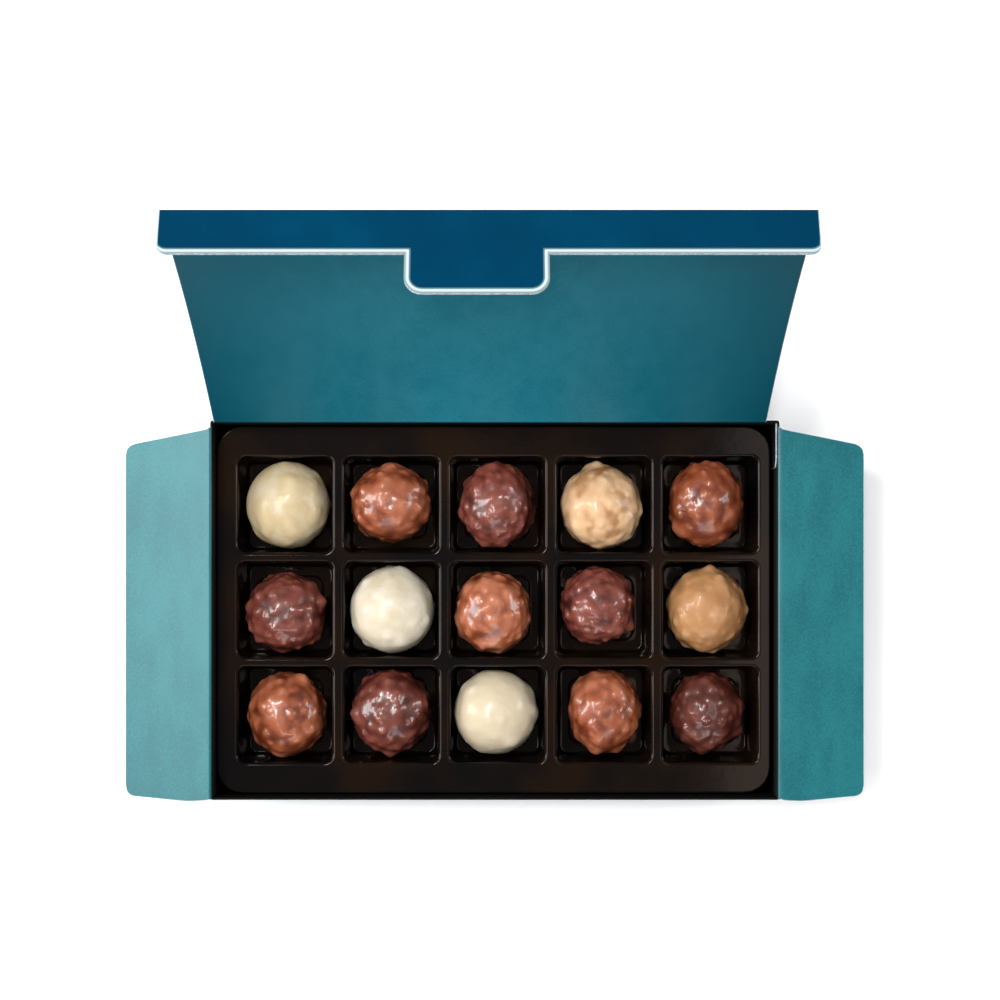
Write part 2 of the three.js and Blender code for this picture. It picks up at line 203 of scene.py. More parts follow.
class Finish:
    """A material with one Principled shader, whose sockets take numbers, colours or flows."""

    def __init__(self, name, **constants):
        self.material = bpy.data.materials.new(name)
        self.material.use_nodes = True
        self.tree = self.material.node_tree
        self.shader = self.tree.nodes["Principled BSDF"]
        self.set(**constants)

    def set(self, **sockets):
        for name, value in sockets.items():
            self.put(self.shader.inputs[name.replace("_", " ")], value)

    def put(self, socket, value):
        if isinstance(value, Flow):
            self.tree.links.new(value.socket, socket)
        else:
            socket.default_value = value

    def add(self, kind, settings=None, inputs=None, output=0):
        """A node of that kind: its settings first, then the values or flows of its sockets."""
        node = self.tree.nodes.new(kind)
        for name, value in (settings or {}).items():
            setattr(node, name, value)
        for name, value in (inputs or {}).items():
            self.put(socket_of(node.inputs, name), value)
        return Flow(self, socket_of(node.outputs, output))

    def place(self, scale):
        """Object coordinates, stretched by scale."""
        coordinates = self.add("ShaderNodeTexCoord", output="Object")
        return self.add("ShaderNodeMapping", inputs={"Vector": coordinates, "Scale": scale})

    def noise(self, size, detail, scale=(1, 1, 1), distortion=0.0):
        """Cloudy noise between 0 and 1, with features of about that size in millimetres."""
        inputs = {
            "Vector": self.place(scale), "Scale": 1 / (size * MM), "Detail": detail,
            "Distortion": distortion,
        }
        return self.add("ShaderNodeTexNoise", inputs=inputs)

    def value(self, name):
        """A number that was kept for each point of the piece."""
        settings = {"attribute_type": "GEOMETRY", "attribute_name": name}
        return self.add("ShaderNodeAttribute", settings, output="Fac")

    def mix(self, share, first, second):
        """The first colour where share is 0 and the second where it is 1."""
        inputs = {"Factor": share, "A_Color": first, "B_Color": second}
        return self.add("ShaderNodeMix", {"data_type": "RGBA"}, inputs, output="Result_Color")

    def bump(self, height, distance, strength, normal=None):
        """A bump of that height, whose value 1 stands for a distance in millimetres."""
        inputs = {"Height": height, "Distance": distance * MM, "Strength": strength}
        if normal is not None:
            inputs["Normal"] = normal
        return self.add("ShaderNodeBump", inputs=inputs)


def screen_colour(red, green, blue):
    """A colour as the eye reads it on a screen, 0 to 255, as the linear colour a shader takes."""
    share = np.array([red, green, blue]) / 255
    linear = np.where(share <= 0.04045, share / 12.92, ((share + 0.055) / 1.055) ** 2.4)
    return (*linear.tolist(), 1.0)


# %% [markdown]
# The carton is one board with three surfaces. The side that faces in is coated with a pearly teal whose
# colour and roughness drift in fine flecks, with long soft streaks of painted sheen, the printed side is a
# flat deep blue, and wherever the board is cut its white pulp shows. One material for each lets a single
# mesh carry them all. Two more materials paint light: a near-black one is painted shade inside the box, and
# the lid has a lighter, bluer and less glossy copy of the coating that stands in for how the leaning lid is
# lit.

# %% Board finishes
TEAL = screen_colour(0, 80, 89)
TEAL_LIGHT = screen_colour(18, 100, 106)
TEAL_DEEP = screen_colour(0, 70, 86)
# The lid's copy of the teal is painted light: lighter and bluer than the flaps' teal, for how the leaning
# lid is lit. Its darkest colour is painted shade towards the lid's sides and top.
LID_SIDE_SHADE = screen_colour(0, 68, 84)
LID_TEAL_LIT = screen_colour(12, 104, 122)
LID_TEAL_LIT_LIGHT = screen_colour(36, 118, 136)
# Painted shade: the near black put on the board where it lies in shade inside the box.
PAINTED_SHADE = screen_colour(4, 4, 4)
DEEP_BLUE = screen_colour(0, 46, 72)
DEEP_BLUE_LIGHT = screen_colour(0, 56, 84)
PULP = screen_colour(180, 194, 199)
PULP_GREY = screen_colour(122, 134, 136)
PRINT_END = screen_colour(80, 106, 116)


def board_inside(name, gloss, dark, middle, light):
    """The pearly coating. It goes from dark to the two lighter tones with the value tone, which on the lid
    is painted sheen and shade. It turns to pulp at cut rims and as a painted highlight along creases, and
    is near black where the value shade paints shade inside the box."""
    finish = Finish(name, Specular_IOR_Level=gloss, Specular_Tint=(0.8, 0.98, 0.98, 1.0))
    fleck = finish.noise(0.7, detail=3)
    drift = finish.noise(40, detail=1)
    fibre = finish.noise(0.9, detail=2, scale=(0.25, 1, 1))
    # The long soft streaks are painted sheen; the fine flecks and the slow drift are the coating's own
    # pearl.
    sheen_streak = finish.noise(9, detail=3, scale=(1.6, 0.5, 1))
    pearl_and_sheen = (fleck * 0.5 + drift * 0.25 + sheen_streak * 0.3).between(0.38, 0.66)
    colour = finish.mix(finish.value("tone"), dark, finish.mix(pearl_and_sheen, middle, light))
    worn_and_highlight = finish.value("cut_edge_and_highlight").between(0.45, 1.0)
    shade = finish.value("shade").between(0.0, 1.0)
    finish.set(Base_Color=finish.mix(shade, finish.mix(worn_and_highlight, colour, PULP), PAINTED_SHADE))
    finish.set(Roughness=0.3 + fleck * 0.12 + (1 - finish.value("tone")) * 0.12)
    finish.set(Normal=finish.bump(fibre, 0.02, strength=0.3))
    return finish.material


def board_outside():
    """The printed side. A value kept on the points leads from the print's end over the bare pulp to the
    cut, and carries a painted highlight along creases; the value shade paints it near black as shade inside
    the box.
    """
    finish = Finish("board_outside", IOR=1.4, Specular_Tint=(0.02, 0.4, 0.7, 1.0))
    fleck = finish.noise(0.5, detail=2)
    drift = finish.noise(25, detail=2)
    colour = finish.mix((drift * 0.7 + fleck * 0.3).between(0.4, 0.75), DEEP_BLUE, DEEP_BLUE_LIGHT)
    cut = finish.value("cut_edge_and_highlight")
    bare = finish.mix(cut.between(0.2, 0.36), PRINT_END, PULP)
    bare = finish.mix(cut.between(0.55, 0.85), bare, PULP_GREY)
    colour = finish.mix(cut.between(0.02, 0.12), colour, bare)
    shade = finish.value("shade").between(0.0, 1.0)
    finish.set(Base_Color=finish.mix(shade, colour, PAINTED_SHADE))
    finish.set(Roughness=0.36 + fleck * 0.12)
    finish.set(Normal=finish.bump(fleck, 0.012, strength=0.3))
    return finish.material


def board_core():
    finish = Finish("board_core", Roughness=0.85)
    fibre = finish.noise(0.35, detail=4, scale=(0.3, 1, 1))
    finish.set(Base_Color=finish.mix(fibre.between(0.35, 0.7), PULP_GREY, PULP))
    finish.set(Normal=finish.bump(fibre, 0.05, strength=0.5))
    return finish.material


def board_painted_shade():
    # Painted shade: the board inside the box, painted near black and with little gloss.
    finish = Finish("board_painted_shade", Specular_IOR_Level=0.12, Roughness=0.6, Base_Color=PAINTED_SHADE)
    fibre = finish.noise(0.9, detail=2, scale=(0.25, 1, 1))
    finish.set(Normal=finish.bump(fibre, 0.02, strength=0.3))
    return finish.material


# The last finish is the same coating again, with the lid's lighter, bluer colours and less gloss: painted
# light for the leaning lid.
BOARD_FINISHES = [
    board_outside(), board_inside("board_inside", 0.5, TEAL_DEEP, TEAL, TEAL_LIGHT), board_core(),
    board_painted_shade(), board_inside("lid_inside_lit_copy", 0.14, LID_SIDE_SHADE, LID_TEAL_LIT, LID_TEAL_LIT_LIGHT),
]
OUTSIDE, INSIDE, CORE, PAINTED_DARK, LID_LIT_COPY = range(5)
print("board finishes:", [finish.name for finish in BOARD_FINISHES])

# %% [markdown]
# Each panel is a sheet of board 0.8 mm thick. Its middle surface is worked out first, as a grid, and the
# printed face and the inner face lie half the thickness to each side. Strips along the rim close it, and
# they get the white core. A value on the points says how near the cut is, because a cut through printed
# board always wears a little white along its rim. The same value carries a painted highlight along the
# creases.

# %% Sheets of board
BOARD = 0.8
WORN_RIM = 0.45


def rim_edges(quads):
    """The edges that only one quad uses, each in the direction in which its quad runs."""
    edges = np.concatenate([np.stack([quads[:, k], quads[:, (k + 1) % 4]], axis=1) for k in range(4)])
    keys = np.sort(edges, axis=1)
    _, first, count = np.unique(keys, axis=0, return_index=True, return_counts=True)
    return edges[first[count == 1]]


def board_piece(
    name, points, quads, normals, uncut=None, thickness=BOARD, shade=0.0, tone=1.0, bare_and_highlight=0.0, inner=INSIDE,
):
    """A sheet of board. points is its middle surface, and normals point to the printed side. uncut marks
    the points of the rim that meet another panel, so they stay unworn. shade is 1 where the board is
    painted near black as shade inside the box, and tone tells how light the teal is, which on the lid is
    painted sheen and shade. One more value marks a bare rim of board and a painted highlight along a
    crease."""
    count = len(points)
    corner = points[quads]
    facing = np.cross(corner[:, 1] - corner[:, 0], corner[:, 3] - corner[:, 0])
    if np.einsum("ij,ij->", facing, normals[quads[:, 0]]) < 0:
        quads = quads[:, ::-1]
    rim = rim_edges(quads)
    outside = points + normals * thickness / 2
    inside = points - normals * thickness / 2
    strips = np.stack([rim[:, 1], rim[:, 0], rim[:, 0] + count, rim[:, 1] + count], axis=1)
    faces = np.concatenate([quads, quads[:, ::-1] + count, strips])
    finish_of_face = np.repeat([OUTSIDE, inner, CORE], [len(quads), len(quads), len(strips)])
    piece = new_piece(name, np.concatenate([outside, inside]), faces, BOARD_FINISHES, finish_of_face)
    cut = np.zeros(count)
    cut[rim.ravel()] = 1
    if uncut is not None:
        cut[uncut] = 0
    for kept, value in (("cut_edge_and_highlight", np.maximum(cut, bare_and_highlight)), ("shade", shade), ("tone", tone)):
        point_values(piece, kept, np.tile(np.broadcast_to(value, count), 2))
    return piece


def fillet(corner, before, after, radius, steps):
    """Points along the round bend of a sheet between two straight stretches. before and after are unit
    directions into and out of the corner, and the arc of that radius touches both."""
    turn = math.acos(np.clip(np.dot(before, after), -1, 1))
    reach = radius * math.tan(turn / 2)
    side = np.sign(before[0] * after[1] - before[1] * after[0])
    across = side * np.array([-before[1], before[0]])
    centre = corner - before * reach + across * radius
    angle = np.linspace(0, turn, steps)[:, None]
    return centre - across * radius * np.cos(angle) + before * radius * np.sin(angle)


def line(start, end, steps):
    """Points from start towards end, without the last one."""
    share = np.linspace(0, 1, steps, endpoint=False)[:, None]
    return np.array(start) * (1 - share) + np.array(end) * share


def even(low, high, steps, rim_low=False, rim_high=False):
    """Numbers from low to high, with one more close to an end that is a cut rim."""
    inner = np.linspace(low + WORN_RIM * rim_low, high - WORN_RIM * rim_high, steps)
    return np.concatenate([[low] * rim_low, inner, [high] * rim_high])


def profile_normals(profile):
    """Unit normals of a path in a plane, to the left of its direction."""
    slope = np.gradient(profile, axis=0)
    slope /= np.linalg.norm(slope, axis=1, keepdims=True)
    return np.stack([-slope[:, 1], slope[:, 0]], axis=1)


# %% [markdown]
# The carton's bottom and walls are one closed shell: rounded rectangles stacked along a path that runs
# under the bottom, up the outside of the walls, over their rim and down the inside. The side and back
# walls end just under their creases, where the pieces of the flaps and the lid begin.

# %% Carton walls
RING_SIDE_STEPS = 24
RING_CORNER_STEPS = 6
CREASE_FOOT = 1.4
FRONT_RIM_ROUND = 0.32
FRONT_RIM_EASE = 0.06
WALL_HEIGHTS = (8.0, 20.0)
INNER_FOOT = 1.2
# The rings of the walls: how much smaller than the carton, and the radius of their corners
WALL_RINGS = {
    "foot": (1.2, 0.6), "bend": (0.35, 0.9), "outer": (0.0, 1.0), "over": (0.5, 0.8),
    "within": (1.1, 0.6), "inner": (2 * BOARD, 0.3), "floor": (3.0, 0.3),
}


def ring(width, depth, corner):
    """The points of a rounded rectangle, anticlockwise from the middle of its right side. Every ring has
    the same number of points in the same order, so that rings can be joined."""
    arcs = []
    for index, (side_x, side_y) in enumerate(((1, 1), (-1, 1), (-1, -1), (1, -1))):
        angle = np.linspace(0, math.pi / 2, RING_CORNER_STEPS) + index * math.pi / 2
        centre = [side_x * (width / 2 - corner), side_y * (depth / 2 - corner)]
        arcs.append(centre + corner * np.stack([np.cos(angle), np.sin(angle)], axis=1))
    sides = [line(arcs[k][-1], arcs[(k + 1) % 4][0], RING_SIDE_STEPS)[1:] for k in range(4)]
    return np.concatenate([part for pair in zip(arcs, sides) for part in pair])


def stacked(levels):
    """The points of rings one above the other, as levels x points. Each level is a ring and its height,
    one number or one for each point."""
    return np.stack([
        np.column_stack([outline, np.broadcast_to(height, len(outline))]) for outline, height in levels
    ])


hinge = {name: np.array(joint["pos_m"]) / MM for name, joint in JOINTS.items()}
CARTON_SIZE = carton_high - carton_low
RIM_HEIGHT = 34.0
SIDE_WALL_TOP = hinge["left_crease"][2] - CREASE_FOOT
BACK_WALL_TOP = hinge["lid_crease"][2] - CREASE_FOOT
# The level, counted from the foot, where the print gives way to painted shade, near black, over the top of
# the walls and down their inside
RIM_LEVEL = 6


def rim_heights(outline, drop):
    """How high the wall reaches at each point of a ring: to the creases at the sides and the back, and
    to the rim at the front. drop is how far below that the level lies."""
    x, y = outline.T
    half_x, half_y = CARTON_SIZE[0] / 2, CARTON_SIZE[1] / 2
    is_side = (half_x - np.abs(x)) < (half_y - np.abs(y))
    return np.where(is_side, SIDE_WALL_TOP, np.where(y > 0, BACK_WALL_TOP, RIM_HEIGHT - drop))


def carton_walls():
    """Rings joined into one skin: up the outside, over the rim at the height of rim_heights, and down
    the inside. The first and last ring are closed by one face each."""
    width, depth = CARTON_SIZE[:2]
    rings = {
        name: ring(width - smaller, depth - smaller, corner)
        for name, (smaller, corner) in WALL_RINGS.items()
    }
    at_rim = (
        ("outer", 1.5), ("outer", FRONT_RIM_ROUND), ("over", FRONT_RIM_EASE), ("within", FRONT_RIM_EASE),
        ("inner", FRONT_RIM_ROUND),
    )
    levels = [(rings["foot"], 0.0), (rings["bend"], 0.18), (rings["outer"], 0.6)]
    levels += [(rings["outer"], height) for height in WALL_HEIGHTS]
    levels += [(rings[name], rim_heights(rings[name], drop)) for name, drop in at_rim]
    levels += [(rings["inner"], height) for height in (*WALL_HEIGHTS[::-1], INNER_FOOT)]
    levels += [(rings["floor"], BOARD)]
    surface = stacked(levels)
    count = surface.shape[1]
    points, quads = surface.reshape(-1, 3), grid_quads(*surface.shape[:2], wrap=True)
    number = np.arange(len(points))
    under, floor = number[:count][::-1], number[-count:]
    # Painted shade: from RIM_LEVEL on, over the top of the walls and down their inside, the walls take the
    # near-black finish and a shade value of 1.
    printed = np.arange(len(quads)) // count < RIM_LEVEL
    finish_of_face = np.concatenate([np.where(printed, OUTSIDE, PAINTED_DARK), [OUTSIDE, PAINTED_DARK]])
    faces = [*quads[:, ::-1], under, floor]
    piece = new_piece("carton_walls", points, faces, BOARD_FINISHES, finish_of_face)
    point_values(piece, "shade", number // count >= RIM_LEVEL)
    point_values(piece, "cut_edge_and_highlight", np.zeros(len(points)))
    point_values(piece, "tone", np.ones(len(points)))
    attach(piece, "box")
    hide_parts("carton_base")
    return piece


walls = carton_walls()
print("carton walls:", len(walls.data.polygons), "faces")

# %% [markdown]
# The back wall carries on into a narrow tab that is glued inside the right wall. Its upper rim is a raw
# cut, so it shows as a short white line beside the crease. A small sheet of board in the plane of the
# wall is enough, with its front corner cut at a slant as on every glued tab.

# %% Glue tab
TAB_LENGTH = 15.0
TAB_TOP = 33.4
TAB_SLANT = 2.5
TAB_THICKNESS = 0.5
TAB_FOOT = 1.2
TAB_BACK_GAP = 0.1
TAB_WALL_GAP = 0.03
TAB_SQUEEZE = 0.2


def glue_tab():
    """A grid in the plane of the wall. Rows above the slanted cut are squeezed under it, to TAB_SQUEEZE
    of their distance."""
    reach = even(0, TAB_LENGTH, 10, rim_high=True)
    rise = even(TAB_FOOT, TAB_TOP, 12, rim_high=True)
    back = CARTON_SIZE[1] / 2 - BOARD - TAB_BACK_GAP
    along, up = np.meshgrid(reach, rise, indexing="ij")
    lowered = np.clip(along - (TAB_LENGTH - TAB_SLANT), 0, None)
    up = np.minimum(up, TAB_TOP - lowered + (up - TAB_TOP) * TAB_SQUEEZE)
    x = np.full_like(along, CARTON_SIZE[0] / 2 - BOARD - TAB_THICKNESS / 2 - TAB_WALL_GAP)
    points = np.stack([x, back - along, up], axis=-1).reshape(-1, 3)
    normals = np.tile([1.0, 0.0, 0.0], (len(points), 1))
    # shade=1.0 paints the whole tab near black, as shade inside the box; only its cut rim stays white.
    piece = board_piece(
        "glue_tab", points, grid_quads(*along.shape), normals, thickness=TAB_THICKNESS, shade=1.0,
    )
    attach(piece, "box")
    return piece


tab = glue_tab()
print("glue tab:", len(tab.data.polygons), "faces")

# %% [markdown]
# Each side flap grows out of its wall. The board runs up the wall, bends over the crease and goes on
# outwards, drooping a little. One grid carries the whole path, from the wall over the bend to the flap's
# free edge.

# %% Side flaps
FLAP_REACH = 29.8
FLAP_DROOP = 8.0
FLAP_CORNER = 4.2
CREASE_RADIUS = 0.55
FLAP_SHADE_END = 0.25
SHADE_FADE = 0.9
# A painted highlight along each flap's crease bend: its place past the crease, its strength on the left and
# the right flap, and its width.
FLAP_HIGHLIGHT_PLACE = 0.6
LEFT_HIGHLIGHT, RIGHT_HIGHLIGHT = 0.2, 0.6
HIGHLIGHT_WIDTH = 0.7
FLAP_SAMPLES = 40
FLAP_LENGTH = 120.0
FLAP_DENSE = 3.0
# Places of the flap's edges along the crease, and how far out the front edge swells
FLAP_FRONT_START, FLAP_FRONT_SWELL, FLAP_FRONT_TIP = -64.3, -64.9, -63.6
FLAP_BACK_START, FLAP_BACK_NOTCH, FLAP_BACK_TIP, FLAP_BACK_CORNER = 62.2, 61.4, 57.0, 56.2
SWELL_REACH, NOTCH_REACH = 8.8, 2.0


def curve(start, control, end):
    """A quadratic curve through start and end that leans towards control."""
    share = np.linspace(0, 1, FLAP_SAMPLES)[:, None]
    start, control, end = map(np.array, (start, control, end))
    return start * (1 - share) ** 2 + control * 2 * share * (1 - share) + end * share ** 2


def flap_limits(reach):
    """The flap's front and back edge at each distance from its crease. Both edges start at the crease,
    and curve round the free corners."""
    swell, tip, far = FLAP_FRONT_SWELL, FLAP_FRONT_TIP, FLAP_REACH - FLAP_CORNER
    front = np.concatenate([
        curve((FLAP_FRONT_START, 0), (swell, SWELL_REACH / 2), (swell, SWELL_REACH)),
        curve((tip, far), (tip, FLAP_REACH), (tip + FLAP_CORNER, FLAP_REACH)),
    ])
    tip = FLAP_BACK_TIP
    back = np.concatenate([
        [(FLAP_BACK_START, 0), (FLAP_BACK_NOTCH, NOTCH_REACH)],
        curve((tip, far), (FLAP_BACK_CORNER, FLAP_REACH), (tip - FLAP_CORNER, FLAP_REACH)),
    ])
    return np.interp(reach, front[:, 1], front[:, 0]), np.interp(reach, back[:, 1], back[:, 0])


def past_crease(path):
    """How far along the board each point of a path lies past its crease."""
    step = np.linalg.norm(np.diff(path, axis=0), axis=1)
    return np.concatenate([[0], np.cumsum(step)]) - CREASE_FOOT


def crease_highlight(path, place, most):
    """A painted highlight along the bend: most at a place past the crease and 0 a little farther off."""
    return most * np.clip(1 - np.abs(past_crease(path) - place) / HIGHLIGHT_WIDTH, 0, 1)


def crease_shade(path, end):
    """Painted shade: 1 on the wall, where the board is painted near black, and 0 once the board has turned
    away from the box. It falls along the last SHADE_FADE millimetres before the distance end past the
    crease."""
    return np.clip((end - past_crease(path)) / SHADE_FADE, 0, 1)


def side_flap(name, side, joint, highlight):
    """side is -1 at the left and 1 at the right. The path is worked out in a plane across the crease,
    with its first number outwards, and the grid's second direction runs along the crease."""
    axis = hinge[joint]
    droop = math.radians(FLAP_DROOP)
    up, outward = np.array([0.0, 1.0]), np.array([math.cos(droop), -math.sin(droop)])
    bend = fillet(np.zeros(2), up, outward, CREASE_RADIUS, 8)
    start = np.linalg.norm(bend[-1])
    tip = FLAP_REACH - WORN_RIM
    far = FLAP_REACH - FLAP_CORNER
    reach = np.concatenate([
        np.linspace(start, FLAP_DENSE, 8)[1:], np.linspace(FLAP_DENSE, far, 14)[1:],
        np.linspace(far, tip, 12)[1:],
        [FLAP_REACH],
    ])
    path = np.concatenate([line((0, -CREASE_FOOT), bend[0], 3), bend, reach[:, None] * outward])
    from_crease = np.concatenate([np.zeros(3 + len(bend)), reach])
    front, back = flap_limits(from_crease)
    rim = WORN_RIM / FLAP_LENGTH
    share = np.concatenate([[0], np.linspace(rim, 1 - rim, 40), [1]])
    along = front[:, None] * (1 - share) + back[:, None] * share
    x = axis[0] + side * np.broadcast_to(path[:, :1], along.shape)
    z = axis[2] + np.broadcast_to(path[:, 1:], along.shape)
    points = np.stack([x, along, z], axis=-1).reshape(-1, 3)
    flat = -profile_normals(path)
    normals = np.stack([side * flat[:, 0], np.zeros(len(flat)), flat[:, 1]], axis=1)
    normals = np.repeat(normals, along.shape[1], axis=0)
    uncut = np.arange(len(points)) < along.shape[1]
    shade = np.repeat(crease_shade(path, FLAP_SHADE_END), along.shape[1])
    bare_and_highlight = np.repeat(crease_highlight(path, FLAP_HIGHLIGHT_PLACE, highlight), along.shape[1])
    piece = board_piece(
        name, points, grid_quads(*along.shape), normals, uncut=uncut, shade=shade, bare_and_highlight=bare_and_highlight,
    )
    round_edges(piece)
    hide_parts(name.replace("_board", ""))
    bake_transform(piece)
    return piece


left_flap = side_flap("left_flap_board", -1, "left_crease", LEFT_HIGHLIGHT)
right_flap = side_flap("right_flap_board", 1, "right_crease", RIGHT_HIGHLIGHT)
print("side flaps:", [len(flap.data.polygons) for flap in (left_flap, right_flap)], "faces")

# %% [markdown]
# The lid leans back and, freshly unfolded, is still bowed: its profile is a shallow arc that is hollow
# towards the front. It starts on the back wall, bends at the crease, follows the arc and stops just
# before the fold. A profile carried along the crease gives the whole panel.

# %% Lid
LID_WIDTH = 187.4
LID_LEAN = 23.65
LID_BOW = 11.0
LID_CHORD = float(np.linalg.norm((hinge["tuck_fold"] - hinge["lid_crease"])[1:]))
FOLD_SETBACK = 1.3
LID_CREASE_RADIUS = 1.2
LID_SHADE_END = 0.6
LID_TOP_PAINTED_SHADE = 0.45
# A painted highlight along the lid's crease bend: its place past the crease and its strength.
LID_HIGHLIGHT_PLACE = 1.3
LID_HIGHLIGHT = 0.68
LID_DENSE = 4.0

chord_angle = math.radians(90 - LID_LEAN)
CHORD = np.array([math.cos(chord_angle), math.sin(chord_angle)])
HOLLOW = np.array([-math.sin(chord_angle), math.cos(chord_angle)])


def lid_arc(distance):
    """Points of the lid's bow at a distance from the crease, as (y, z) from the crease. The arc turns by
    LID_BOW in all, and its chord runs from crease to fold."""
    half = math.radians(LID_BOW) / 2
    radius = LID_CHORD / 2 / math.sin(half)
    angle = np.asarray(distance)[..., None] / radius - half
    along = LID_CHORD / 2 + radius * np.sin(angle)
    sag = radius * (math.cos(half) - np.cos(angle))
    return along * CHORD + sag * HOLLOW


LID_LENGTH = math.radians(LID_BOW) * LID_CHORD / 2 / math.sin(math.radians(LID_BOW) / 2)


def swept(profile, x):
    """A point for each x in the rows of a grid, where row k lies at the profile's k-th (y, z)."""
    y, z = (np.broadcast_to(profile[:, k:k + 1], x.shape) for k in (0, 1))
    return np.stack([x, y, z], axis=-1).reshape(-1, 3)


def swept_normals(profile, count):
    """The profile's normals for every point of its sweep, pointing to the printed side."""
    flat = -profile_normals(profile)
    return np.repeat(np.column_stack([np.zeros(len(flat)), flat]), count, axis=0)


def lid_board():
    """One profile, from the foot on the wall over the round bend and along the bow, swept along X."""
    origin = hinge["lid_crease"]
    up = np.array([0.0, 1.0])
    start_slope = lid_arc([1.0])[0] - lid_arc([0.0])[0]
    start_slope /= np.linalg.norm(start_slope)
    bend = fillet(np.zeros(2), up, start_slope, LID_CREASE_RADIUS, 6)
    begin = np.linalg.norm(bend[-1])
    lower = np.linspace(begin, LID_DENSE, 10)[1:]
    upper = np.linspace(LID_DENSE, LID_LENGTH - FOLD_SETBACK, 56)[1:]
    arc = lid_arc(np.concatenate([lower, upper]))
    profile = np.concatenate([line((0, -CREASE_FOOT), bend[0], 3), bend, arc])
    half = LID_WIDTH / 2
    columns = even(-half, half, 70, rim_low=True, rim_high=True)
    points = swept(profile, np.tile(columns, (len(profile), 1))) + origin
    normals = swept_normals(profile, len(columns))
    row = np.arange(len(points)) // len(columns)
    uncut = (row == 0) | (row == row.max())
    shade = np.repeat(crease_shade(profile, LID_SHADE_END), len(columns))
    # Painted sheen and shade: the lid's tone is highest low down in the middle and falls towards its sides
    # and its top.
    height_share = np.clip(profile[:, 1] / profile[-1, 1], 0, 1)
    tone = np.outer(1 - LID_TOP_PAINTED_SHADE * height_share, 1 - (columns / half) ** 2).ravel()
    bare_and_highlight = np.repeat(crease_highlight(profile, LID_HIGHLIGHT_PLACE, LID_HIGHLIGHT), len(columns))
    piece = board_piece(
        "lid_board", points, grid_quads(len(profile), len(columns)), normals,
        uncut=uncut, shade=shade, tone=tone, bare_and_highlight=bare_and_highlight, inner=LID_LIT_COPY,
    )
    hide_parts("lid_panel")
    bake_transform(piece)
    return piece


lid = lid_board()
print("lid:", len(lid.data.polygons), "faces, an arc of", round(LID_LENGTH, 1), "mm")

# %% [markdown]
# At its free edge the lid folds to a right angle and becomes the tuck flap, with a rounded tongue near
# the middle. The flap is built row by row: each row runs between the outline's left and right limits at
# that distance from the fold, in three runs of columns, and only the middle run goes on into the tongue.

# %% Tuck flap and tongue
TUCK_REACH = 14.5
TUCK_CORNER = 3.0
TONGUE_WIDTH = 40.9
TONGUE_REACH = 27.4
TONGUE_CORNER = 5.3
TONGUE_OFFSET = -3.35
FOLD_RADIUS = 0.6
BARE_RIM = 1.9
EDGE_STEP = 0.4
EDGE_STEPS = 8
EDGE_GAP = 1.0
MIDDLE_STEPS = 16


def corner_inset(reach, full_reach, radius):
    """How far a rounded corner has pulled the side in at a distance from the fold."""
    past = np.clip(reach - (full_reach - radius), 0, radius)
    return radius - np.sqrt(radius ** 2 - past ** 2)


def toward_edges(length):
    """Shares of a length from 0 to 1, EDGE_STEP millimetres apart near both ends and wider between."""
    near = EDGE_STEP * np.arange(EDGE_STEPS)
    inset = near[-1] + EDGE_GAP
    middle = np.linspace(inset, length - inset, MIDDLE_STEPS)
    return np.concatenate([near, middle, length - near[::-1]]) / length


def round_rows(end, radius, steps):
    """Distances from the fold through a rounded corner: end - radius * (1 - sine of the turn)."""
    return end - radius * (1 - np.sin(np.linspace(0, math.pi / 2, steps)))


def tuck_rows(reach, left, right):
    """The x places along each row of the flap, at each distance from the fold."""
    half = LID_WIDTH / 2
    inset = corner_inset(reach, TUCK_REACH, TUCK_CORNER)[:, None]
    before, after = toward_edges(half + left), toward_edges(half - right)
    left_run = (-half + inset) * (1 - before) + left * before
    middle = np.broadcast_to(left + TONGUE_WIDTH * toward_edges(TONGUE_WIDTH), (len(reach), len(before)))
    right_run = right * (1 - after) + (half - inset) * after
    return np.concatenate([left_run[:, :-1], middle, right_run[:, 1:]], axis=1)


def tongue_rows(reach, left, right):
    """The x places across the tongue, at each distance from the fold past the flap's own edge."""
    inset = corner_inset(reach, TONGUE_REACH, TONGUE_CORNER)[:, None]
    share = toward_edges(TONGUE_WIDTH)
    return (left + inset) * (1 - share) + (right - inset) * share


def edge_distance(x, reach, centre, half, end, corner):
    """How far inside a rounded panel a point lies. With q and p the distances past the corner circles'
    centres, it is corner, less the length of their positive parts, less the larger where both are
    below 0."""
    q = np.abs(x - centre) - (half - corner)
    p = reach - (end - corner)
    return corner - np.hypot(np.maximum(q, 0), np.maximum(p, 0)) - np.minimum(np.maximum(q, p), 0)


def bare_rim(x, reach):
    """1 on the free edge of flap and tongue, and 0 from BARE_RIM millimetres inside it."""
    flap = edge_distance(x, reach, 0, LID_WIDTH / 2 + BARE_RIM, TUCK_REACH, TUCK_CORNER + BARE_RIM)
    tongue = edge_distance(x, reach, TONGUE_OFFSET, TONGUE_WIDTH / 2, TONGUE_REACH, TONGUE_CORNER)
    return np.clip(1 - np.maximum(flap, tongue) / BARE_RIM, 0, 1)


